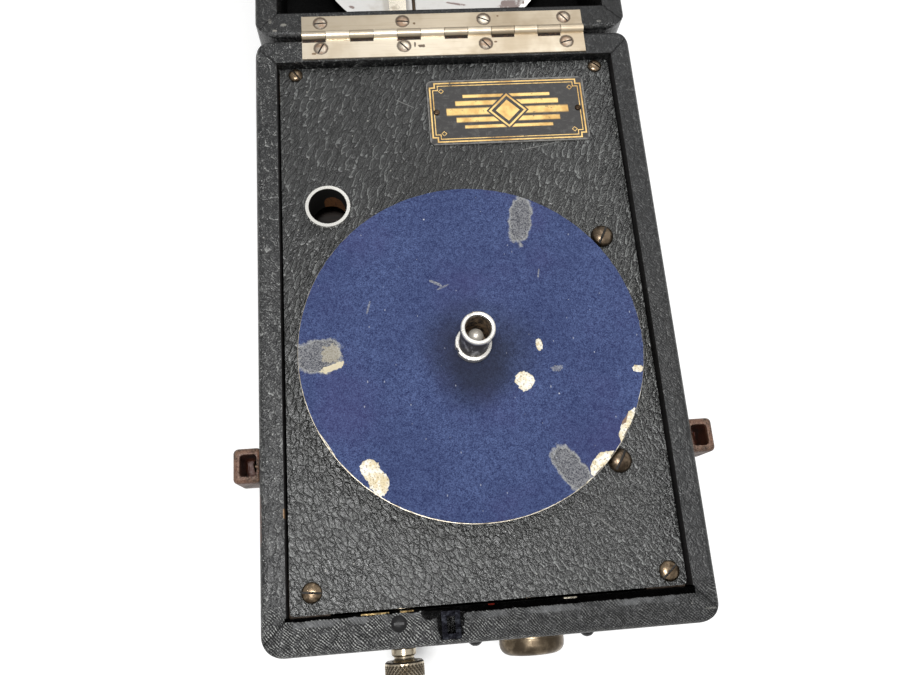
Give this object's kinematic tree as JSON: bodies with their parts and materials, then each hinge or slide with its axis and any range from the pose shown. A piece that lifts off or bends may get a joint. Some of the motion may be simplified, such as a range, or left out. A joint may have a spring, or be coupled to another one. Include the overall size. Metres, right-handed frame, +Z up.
{
  "type": "record player",
  "caption": "Small portable wind-up record player: covered wooden case, blue felt turntable, tone arm socket, crank and speed fittings, and a lid hinged fully open.",
  "frame": {"origin": "centre of the footprint with the lid laid open, on the surface the feet stand on", "axes": "X to the right seen from the front, Y from the crank side towards the lid, Z up"},
  "size_m": [0.2282, 0.633, 0.124],
  "materials": {
    "leatherette": "plywood covered with dark grey grained leatherette, worn at the edges",
    "foot_rubber": "black rubber",
    "bare_wood": "bare softwood",
    "chamber_wood": "brown stained wood",
    "aged_bronze": "tarnished, partly black",
    "plate_metal": "dark enamel with a brass border",
    "black_steel": "black japanned steel",
    "hinge_nickel": "nickel plate, brushed and tarnished",
    "bright_nickel": "polished nickel plate with specks",
    "knob_brass": "nickel worn through to brass",
    "loop_leather": "reddish brown leather, cracked at the edges",
    "felt": "navy blue wool felt, thin, worn and stained",
    "grille_metal": "black enamel",
    "frame_steel": "plain steel",
    "spring_steel": "blued spring steel",
    "clock_brass": "plain brass"
  },
  "bodies": {
    "case": {"case_walls": "leatherette", "case_bottom": "leatherette", "feet": "foot_rubber", "corner_blocks": "bare_wood", "motor_board": "leatherette", "board_screws": "aged_bronze", "nameplate": "plate_metal", "nameplate_pins": "black_steel", "hinge_case_leaf": "hinge_nickel", "hinge_pin": "hinge_nickel", "hinge_case_screws": "hinge_nickel", "tone_arm_socket": "bright_nickel", "sound_partition": "chamber_wood", "sound_baffle": "chamber_wood", "sound_grille": "grille_metal", "crank_escutcheon": "bright_nickel", "escutcheon_screws": "aged_bronze", "speed_bush": "knob_brass", "bush_lock_screw": "black_steel", "catch_plate": "black_steel", "strap_loops": "loop_leather", "strap_loop_rivets": "aged_bronze", "motor_top_plate": "frame_steel", "motor_bottom_plate": "frame_steel", "motor_pillars": "frame_steel", "motor_board_screws": "bright_nickel", "motor_brackets": "clock_brass", "winding_brake_spring": "spring_steel", "lever_post": "frame_steel"},
    "lid": {"lid_walls": "leatherette", "lid_panel": "leatherette", "hinge_lid_leaf": "hinge_nickel", "hinge_lid_screws": "hinge_nickel", "sound_reflector": "bright_nickel", "reflector_strap": "bright_nickel", "reflector_rivets": "aged_bronze", "lid_wire_clip": "bright_nickel", "lid_hook": "black_steel"},
    "turntable": {"turntable_plate": "bright_nickel", "turntable_felt": "felt", "turntable_hub": "frame_steel", "spindle": "frame_steel", "governor_wheel": "clock_brass"},
    "clamp": {"record_clamp": "bright_nickel"},
    "barrel": {"spring_barrel": "frame_steel", "barrel_cover": "clock_brass", "mainspring": "spring_steel"},
    "barrel_arbor": {"barrel_arbor": "frame_steel", "winding_wheel": "clock_brass"},
    "winding_shaft": {"winding_shaft": "frame_steel"},
    "intermediate": {"intermediate_arbor": "frame_steel", "intermediate_wheel": "clock_brass"},
    "governor": {"governor_shaft": "frame_steel", "governor_weights": "clock_brass", "governor_springs": "spring_steel", "governor_disc": "frame_steel"},
    "speed_lever": {"speed_lever": "clock_brass"},
    "push_rod": {"push_rod": "frame_steel"},
    "speed_knob": {"speed_knob": "knob_brass"}
  },
  "joints": [
    {"name": "lid_hinge", "type": "hinge", "parent": "case", "child": "lid", "pos_m": [0, 0.0075, 0.089], "axis": [1, 0, 0], "range_deg": [0, 180]},
    {"name": "turntable_spin", "type": "hinge", "parent": "case", "child": "turntable", "pos_m": [0, -0.1705, 0.089], "axis": [0, 0, 1], "continuous": true},
    {"name": "record_clamp_lift", "type": "slide", "parent": "turntable", "child": "clamp", "axis": [0, 0, 1], "range_m": [0, 0.008]},
    {"name": "intermediate_spin", "type": "hinge", "parent": "case", "child": "intermediate", "pos_m": [0.02159, -0.18956, 0.052], "axis": [0, 0, 1], "continuous": true},
    {"name": "barrel_spin", "type": "hinge", "parent": "case", "child": "barrel", "pos_m": [0.0195, -0.2275, 0.039], "axis": [0, 0, 1], "continuous": true},
    {"name": "governor_spin", "type": "hinge", "parent": "case", "child": "governor", "pos_m": [-0.0225, -0.1705, 0.05675], "axis": [0, 1, 0], "continuous": true},
    {"name": "winding_turn", "type": "hinge", "parent": "case", "child": "winding_shaft", "pos_m": [0.0195, -0.2925, 0.059], "axis": [0, 1, 0], "continuous": true},
    {"name": "arbor_spin", "type": "hinge", "parent": "case", "child": "barrel_arbor", "pos_m": [0.0195, -0.2275, 0.067], "axis": [0, 0, 1], "continuous": true},
    {"name": "knob_travel", "type": "slide", "parent": "case", "child": "push_rod", "axis": [0, 1, 0], "range_m": [-0.0004, 0.0016]},
    {"name": "knob_turn", "type": "hinge", "parent": "push_rod", "child": "speed_knob", "pos_m": [-0.0405, -0.3075, 0.059], "axis": [0, 1, 0], "range_deg": [-181, 721]},
    {"name": "speed_lever_swing", "type": "hinge", "parent": "case", "child": "speed_lever", "pos_m": [-0.062, -0.2545, 0.059], "axis": [0, 0, 1], "range_deg": [-1.2, 4.4]}
  ],
  "couplings": [
    {"joint": "intermediate_spin", "follows": "turntable_spin", "ratio": -0.2},
    {"joint": "barrel_spin", "follows": "turntable_spin", "ratio": 0.0375},
    {"joint": "governor_spin", "follows": "turntable_spin", "ratio": 18},
    {"joint": "winding_turn", "follows": "arbor_spin", "ratio": 3},
    {"joint": "knob_turn", "follows": "knob_travel", "rad_per_m": 7854},
    {"joint": "speed_lever_swing", "follows": "knob_travel", "rad_per_m": 46.512}
  ]
}
